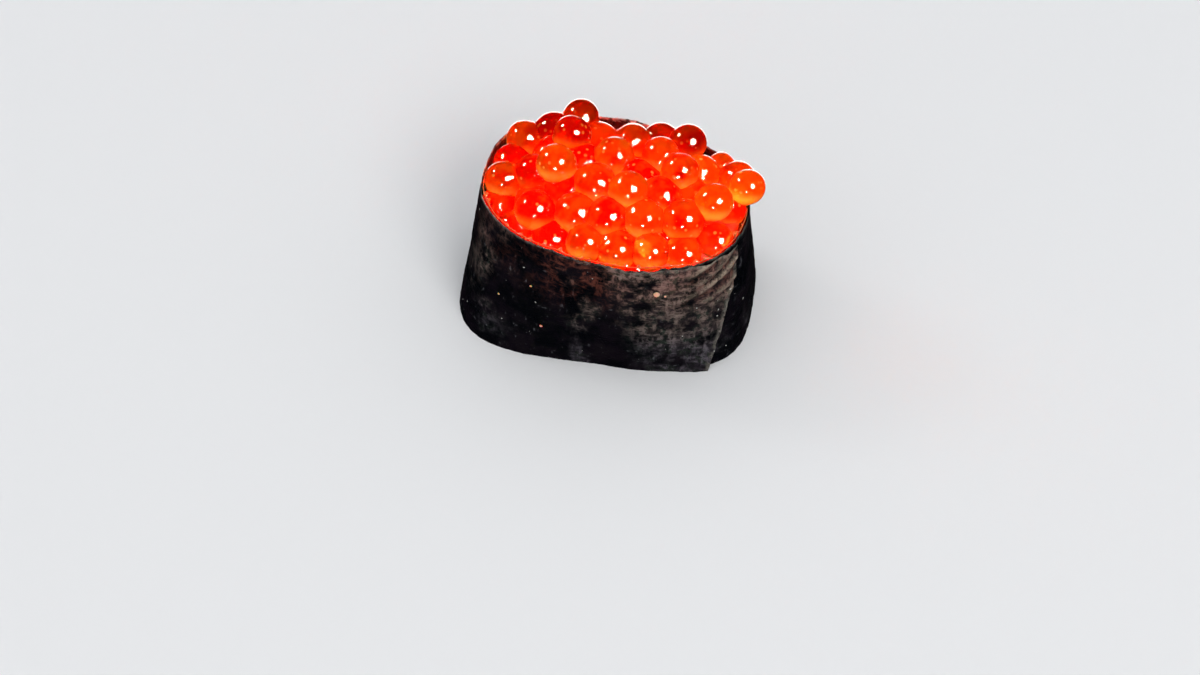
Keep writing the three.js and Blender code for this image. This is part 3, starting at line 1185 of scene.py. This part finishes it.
@dataclass
class RoeHeap:
    """Single eggs, pressed against each other and the wrap, over a core of the same red."""

    form: WrapForm
    eggs: list[Egg]
    seed: int = 5
    shown_above: float = 19.0
    swell: float = 1.1
    gap: float = 0.03
    slack: float = 0.3
    wall_inset: float = 0.58
    wall_step: float = 0.14
    softness: float = 12.0
    grazing: float = 1e-3
    farthest: float = 50.0
    film_softness: float = 2.2
    film_reach: float = 0.8
    film_rounds: int = 12
    film_sight: float = 3.2
    lamp_way: Triple = (0.06, 0.50, 0.86)
    spin: float = 6.28
    tone_spread: float = 0.5
    tone_right: float = -0.014
    tone_front: float = 0.025
    front_from: float = -6.0
    dark_most: float = 0.75
    dark_from: Pair = (5.0, 13.0)
    dark_round: float = 0.15
    bright_left: Pair = (-12.0, 0.9)  # from, share
    bright_right: Pair = (9.0, 0.4)  # from, share
    crevice_shade_rise: Pair = (0.8, -1.6)
    level_reach: float = 9.0
    level_base: float = 25.0
    level_rise: float = 1.5
    core_steps: tuple[int, int] = (144, 40)
    core_share: float = 0.99
    core_floor: float = 14.9
    core_drop: float = 4.2
    core_rise: float = 2.5

    def _swollen(self, egg: Egg) -> float:
        """Radius of an egg: the free ones swell until they press on each other."""
        return egg.radius * (1.0 if egg.fixed else self.swell)

    def _contacts(self, egg: Egg) -> list[Contact]:
        """Flat contacts of an egg with its neighbours and the wrap.

        Args:
            egg: The egg.

        Returns:
            The contacts.
        """
        contacts = []
        for other in self.eggs:
            apart = egg.distance(other)
            if other is not egg and apart <= self.swell * (egg.radius + other.radius) + self.slack:
                lead = self.swell**2 * (egg.radius**2 - other.radius**2)
                way = np.subtract(other.centre, egg.centre) / apart
                contacts.append((way, (apart**2 + lead) / (2 * apart) - self.gap))
        near = self.swell * egg.radius + self.film_reach + self.slack
        return contacts + [(way, reach) for way, reach in self._wall(egg) if reach < near]

    def _wall(self, egg: Egg) -> list[Contact]:
        """Flat contacts with the leaning wrap, or with its rim for an egg above it.

        Args:
            egg: The egg.

        Returns:
            The contacts.
        """
        centre = Vector(egg.centre)
        x, y = self.form.centre(centre.z)
        heading = math.atan2(centre.y - y, centre.x - x)
        contacts = []
        for phi in (heading - self.wall_step, heading, heading + self.wall_step):
            z = min(centre.z, self.form.rim_height(phi))
            out, spot = self.form.normal(phi, z), self.form.point(phi, z)
            if centre.z > z:
                level = (spot - centre).dot(out) - self.wall_inset
                way = out * level + Vector((0.0, 0.0, z - centre.z))
                contacts.append((np.array(way.normalized()), way.length))
            else:
                lean = (self.form.point(phi, z - 1.0) - spot).dot(out)
                way = (out + Vector((0.0, 0.0, lean))).normalized()
                contacts.append((np.array(way), (spot - centre).dot(way) - self.wall_inset))
        return contacts

    def _wetted(self, egg: Egg, rays: np.ndarray) -> np.ndarray:
        """Reach of an egg with the brine that gathers in the grooves round it.

        Args:
            egg: The egg.
            rays: Directions from its centre.

        Returns:
            The distance from the centre along each direction.
        """
        near = [other for other in self.eggs if egg.distance(other) < self.film_sight * egg.radius]
        centres = np.array([other.centre for other in near]) - egg.centre
        radii = np.array([self._swollen(other) for other in near])
        start = self._swollen(egg)
        reach = np.full(len(rays), start)
        for _ in range(self.film_rounds):
            spots = rays * reach[:, None]
            apart = np.linalg.norm(spots[:, None, :] - centres[None, :, :], axis=2) - radii
            depth = np.log(np.exp(-self.film_softness * apart).sum(axis=1)) / self.film_softness
            reach = np.minimum(reach + np.maximum(depth, 0.0), start + self.film_reach)
        return reach

    def _pressed(self, egg: Egg, rays: np.ndarray) -> np.ndarray:
        """Skin of a wetted egg, flat where it touches.

        Args:
            egg: The egg.
            rays: Directions from its centre.

        Returns:
            Its points in millimetres, one in each row.
        """
        ways, reaches = map(np.array, zip(*self._contacts(egg)))
        facing = np.clip(rays @ ways.T, self.grazing, None)
        flats = np.minimum(reaches / facing, self.farthest)
        limits = np.column_stack((flats, self._wetted(egg, rays)))
        radius = -np.log(np.exp(-self.softness * limits).sum(axis=1)) / self.softness
        return rays * radius[:, None] + egg.centre

    def _levels(self, spots: np.ndarray) -> np.ndarray:
        """Heights of the top eggs' centres around some places.

        Args:
            spots: Places in millimetres, one in each row.

        Returns:
            The heights in millimetres.
        """
        centres = np.array([egg.centre for egg in self.eggs])
        square = ((spots[:, None, :2] - centres[None, :, :2]) ** 2).sum(axis=2)
        rise = (centres[:, 2] - self.level_base) / self.level_rise
        weights = np.exp(rise - square / self.level_reach) + 1e-12
        return (weights @ centres[:, 2]) / weights.sum(axis=1)

    def _own_shade(self, egg: Egg) -> float:
        """How dark an egg looks: the crest's are seen against the light, the back's are shaded.

        Args:
            egg: The egg.

        Returns:
            A value from 0 to 1.
        """
        (left, left_share), (right, right_share) = self.bright_left, self.bright_right
        back = egg.y + self.dark_round * abs(egg.x)
        back -= left_share * max(left - egg.x, 0.0) + right_share * max(egg.x - right, 0.0)
        return self.dark_most * smoothstep(*self.dark_from, back)

    def build_eggs(self) -> bpy.types.Object:
        """Makes every egg that can be seen as one mesh.

        Returns:
            The object, which replaces the plain heap.
        """
        dice = np.random.default_rng(self.seed)
        bm = bmesh.new()
        tone, low, deep, crevice_shade = layers(bm, "tone", "low", "deep", "crevice_shade")
        for egg in self.eggs:
            spin = dice.uniform(0, self.spin)
            turn = Matrix.Rotation(spin, 3, Vector(dice.normal(0, 1, 3)).normalized())
            redder = self.tone_right * egg.x + self.tone_front * max(self.front_from - egg.y, 0.0)
            own_tone = 0.5 + redder + float(dice.uniform(-self.tone_spread, self.tone_spread))
            own_shade = self._own_shade(egg)
            if egg.z < self.shown_above:
                continue
            made = bmesh.ops.create_icosphere(bm, subdivisions=4, radius=1.0)["verts"]
            rays = np.array([turn @ vert.co for vert in made])
            spots = self._pressed(egg, rays)
            rises = spots[:, 2] - self._levels(spots)
            for vert, spot, lit, rise in zip(made, spots, rays @ self.lamp_way, rises):
                vert.co = Vector(spot)
                vert[tone] = own_tone
                # Painted caustic glow on the side away from lamp_way.
                vert[low] = 0.5 - 0.5 * lit
                # Painted shade of the crest and back eggs.
                vert[deep] = own_shade
                # Painted shade in the crevices: how far the point lies below the tops of the eggs around
                # it.
                vert[crevice_shade] = smoothstep(*self.crevice_shade_rise, rise)
        made = make_piece("roe_eggs", bm, RoeFinish().material(), Slot.ROE)
        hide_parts("roe")
        return made

    def build_core(self) -> bpy.types.Object:
        """Makes the filling under the eggs as one closed solid: its top, its side, its floor.

        Returns:
            The object.
        """
        bm, form = bmesh.new(), self.form
        for vert, run, rise in unit_grid(bm, *self.core_steps):
            phi, path = TURN * run, 3 * rise
            reach = self.core_share * min(path, 1.0, 3 - path)
            spot = form.at(phi, form.height, reach * form.inner_radius(phi, form.height))
            level = float(self._levels(np.array([spot]))[0]) - self.core_drop
            spot.z = min(level, form.height + self.core_rise)
            if path > 1:
                z = lerp(spot.z, self.core_floor, min(path - 1, 1.0))
                spot = form.at(phi, z, reach * form.inner_radius(phi, z))
            vert.co = spot
        close_up(bm)
        return make_piece("roe_core", bm, RoeCoreFinish().material(), Slot.ROE)


@dataclass
class BrineDrops:
    """Stray drops of brine that cling to the outside of the wrap."""

    strip: NoriStrip
    finish: BrineFinish = BrineFinish(tint=(1.0, 0.50, 0.34), clear=0.1, scatter=0.0002)
    flatness: float = 0.7
    drops: tuple[Triple, ...] = (
        (0.9125, 0.767, 0.55),
        (0.9235, 0.741, 0.22),
        (0.7775, 0.283, 0.26),
        (0.7175, 0.450, 0.20),
        (0.7450, 0.617, 0.22),
    )

    def build(self) -> bpy.types.Object:
        """Makes the drops, each from its share along and up the strip and its radius.

        Returns:
            The object.
        """
        bm = bmesh.new()
        for run, share, radius in self.drops:
            place, phi = self.strip.surface(run, share)
            out = self.strip.form.normal(phi, place.z)
            made = bmesh.ops.create_icosphere(bm, subdivisions=3, radius=1.0)["verts"]
            shape = (
                Matrix.Translation(place)
                @ out.to_track_quat("Z", "Y").to_matrix().to_4x4()
                @ Matrix.Diagonal((radius, radius, self.flatness * radius, 1.0))
            )
            bmesh.ops.transform(bm, matrix=shape, verts=made)
        return make_piece("brine_drops", bm, self.finish.material(), Slot.ROE)


@dataclass
class BrineLine:
    """Beads of brine between the eggs and the rim, along the front and the sides."""

    form: WrapForm
    start: float = math.radians(-188)
    end: float = math.radians(4)
    taper: float = 0.06
    inset: float = 0.5
    below_rim: float = 0.05
    wander: float = 0.25
    wander_grain: float = 6.0
    thin: float = 0.10
    bead: float = 0.72
    bead_grain: float = 13.0
    steps_along: int = 420
    steps_round: int = 8

    def build(self) -> bpy.types.Object:
        """Makes the line as one closed thread of uneven thickness.

        Returns:
            The object.
        """
        bm = bmesh.new()
        for vert, run, rise in unit_grid(bm, self.steps_along, self.steps_round):
            phi, turn = lerp(self.start, self.end, run), TURN * rise
            beads = max(rough(self.bead_grain * phi, 5.0, 1.0, 3), 0.0)
            taper = smoothstep(0.0, self.taper, run) * smoothstep(1.0, 1.0 - self.taper, run)
            radius = taper * (self.thin + self.bead * beads)
            z = self.form.rim_height(phi) - self.below_rim
            z += self.wander * wavy(self.wander_grain * phi, 1.0, 4.0)
            inwards = self.inset + radius * (1 - math.cos(turn))
            spot = self.form.point(phi, z) - self.form.normal(phi, z) * inwards
            spot.z += radius * math.sin(turn)
            vert.co = spot
        close_up(bm)
        return make_piece("brine_line", bm, BrineFinish().material(), Slot.ROE)


# ---------------- studio


@dataclass(frozen=True)
class Softbox:
    """A round soft light."""

    name: str
    way: Triple
    distance: float
    width: float
    power: float
    job: Light
    colour: Colour = (1.0, 1.0, 1.0)
    aim_height: float = 0.02

    def build(self) -> None:
        """Hangs the light, facing the sushi."""
        lamp = bpy.data.lights.new(self.name, "AREA")
        lamp.shape = "DISK"
        lamp.size = self.width
        lamp.energy = self.power
        lamp.color = self.colour
        made = bpy.data.objects.new(self.name, lamp)
        bpy.context.scene.collection.objects.link(made)
        way = Vector(self.way).normalized()
        made.location = way * self.distance + Vector((0, 0, self.aim_height))
        made.rotation_mode = "QUATERNION"
        made.rotation_quaternion = way.to_track_quat("Z", "Y")
        made.visible_glossy = self.job is Light.SPARKLE
        made.visible_diffuse = self.job is Light.FILL


@dataclass
class Studio:
    """Plain pale floor, soft lights and the camera."""

    azimuth: float = math.radians(8.3)
    elevation: float = math.radians(50)
    distance: float = 0.949
    lens: float = 165.06
    sensor: float = 36.0
    clip_start: float = 0.01
    aim_right: float = -0.001414
    aim_up: float = -0.00857
    bounces: int = 24
    clear_bounces: int = 20
    floor_radius: float = 6000.0
    sky: Colour = (0.93, 0.95, 1.0)
    horizon_strength: float = 0.6
    zenith_strength: float = 0.8
    zenith_height: float = 0.8
    softboxes: tuple[Softbox, ...] = (
        Softbox("key_softbox", (0.45, -0.6, 0.75), 1.8, 0.90, 11.0, Light.FILL),
        Softbox("side_softbox", (-0.78, 0.24, 0.57), 1.8, 0.48, 3.0, Light.FILL),
        Softbox("key_sparkle", (0.60, -0.42, 0.68), 0.6, 0.34, 32.0, Light.SPARKLE, (1.0, 0.94, 0.72)),
        Softbox("side_sparkle", (-0.78, 0.24, 0.57), 0.6, 0.13, 7.0, Light.SPARKLE, (1.0, 0.88, 0.62)),
        Softbox("low_sparkle", (0.05, -0.94, 0.22), 0.6, 0.10, 6.0, Light.SPARKLE, (1.0, 0.88, 0.62)),
        Softbox("rim_sparkle", (-0.10, 0.87, -0.47), 0.8, 0.60, 4.5, Light.SPARKLE, (1.0, 0.8, 0.72)),
    )

    def build(self) -> None:
        """Makes the floor, the lights and the camera."""
        self._floor()
        self._sky()
        for softbox in self.softboxes:
            softbox.build()
        self._camera()
        scene = bpy.context.scene
        scene.view_settings.view_transform = "Standard"
        scene.cycles.use_denoising = True
        scene.cycles.max_bounces = self.bounces
        scene.cycles.transmission_bounces = self.clear_bounces
        scene.cycles.transparent_max_bounces = self.bounces
        scene.cycles.caustics_reflective = False

    def _floor(self) -> None:
        """Lays the floor."""
        bm = bmesh.new()
        bmesh.ops.create_circle(bm, cap_ends=True, segments=96, radius=self.floor_radius)
        floor = make_piece("pale_floor", bm, FloorFinish().material())
        floor.visible_glossy = False

    def _sky(self) -> None:
        """Sets the even light all round, a little stronger overhead."""
        shade = Shade("even_sky", "World")
        fade = {
            "Value": shade.height(shade.node("TexCoord", {}, {}, "Generated")),
            "From Max": self.zenith_height,
            "To Min": self.horizon_strength,
            "To Max": self.zenith_strength,
        }
        strength = shade.node("MapRange", {}, fade)
        world = shade.close(shade.node("Background", {}, {"Color": self.sky, "Strength": strength}))
        world.cycles_visibility.glossy = False
        bpy.context.scene.world = world

    def _camera(self) -> None:
        """Places the camera."""
        lens = bpy.data.cameras.new("camera")
        lens.lens = self.lens
        lens.sensor_width = self.sensor
        lens.clip_start = self.clip_start
        made = bpy.data.objects.new("camera", lens)
        bpy.context.scene.collection.objects.link(made)
        level = math.cos(self.elevation)
        right = Vector((math.cos(self.azimuth), math.sin(self.azimuth), 0.0))
        back = Vector((right.y * level, -right.x * level, math.sin(self.elevation)))
        up = back.cross(right)
        made.matrix_world = Matrix((right, up, back)).transposed().to_4x4()
        made.location = back * self.distance + right * self.aim_right + up * self.aim_up
        bpy.context.scene.camera = made


# ---------------- making


def main() -> None:
    """Builds the sushi's pieces in order and sets them in the studio."""
    logging.basicConfig(level=logging.INFO, format="%(name)s: %(message)s")
    Studio().build()
    form = WrapForm()
    rice = RiceBlock(form)
    roe = RoeHeap(form, EggPacking(form).settled())
    strip = NoriStrip(form)
    for build in (
        strip.build,
        rice.build_grains,
        rice.build_core,
        roe.build_eggs,
        roe.build_core,
        BrineLine(form).build,
        BrineDrops(strip).build,
    ):
        made = build()
        LOG.info("%s: %d faces", made.name, len(made.data.polygons))


if __name__ == "__main__":
    main()
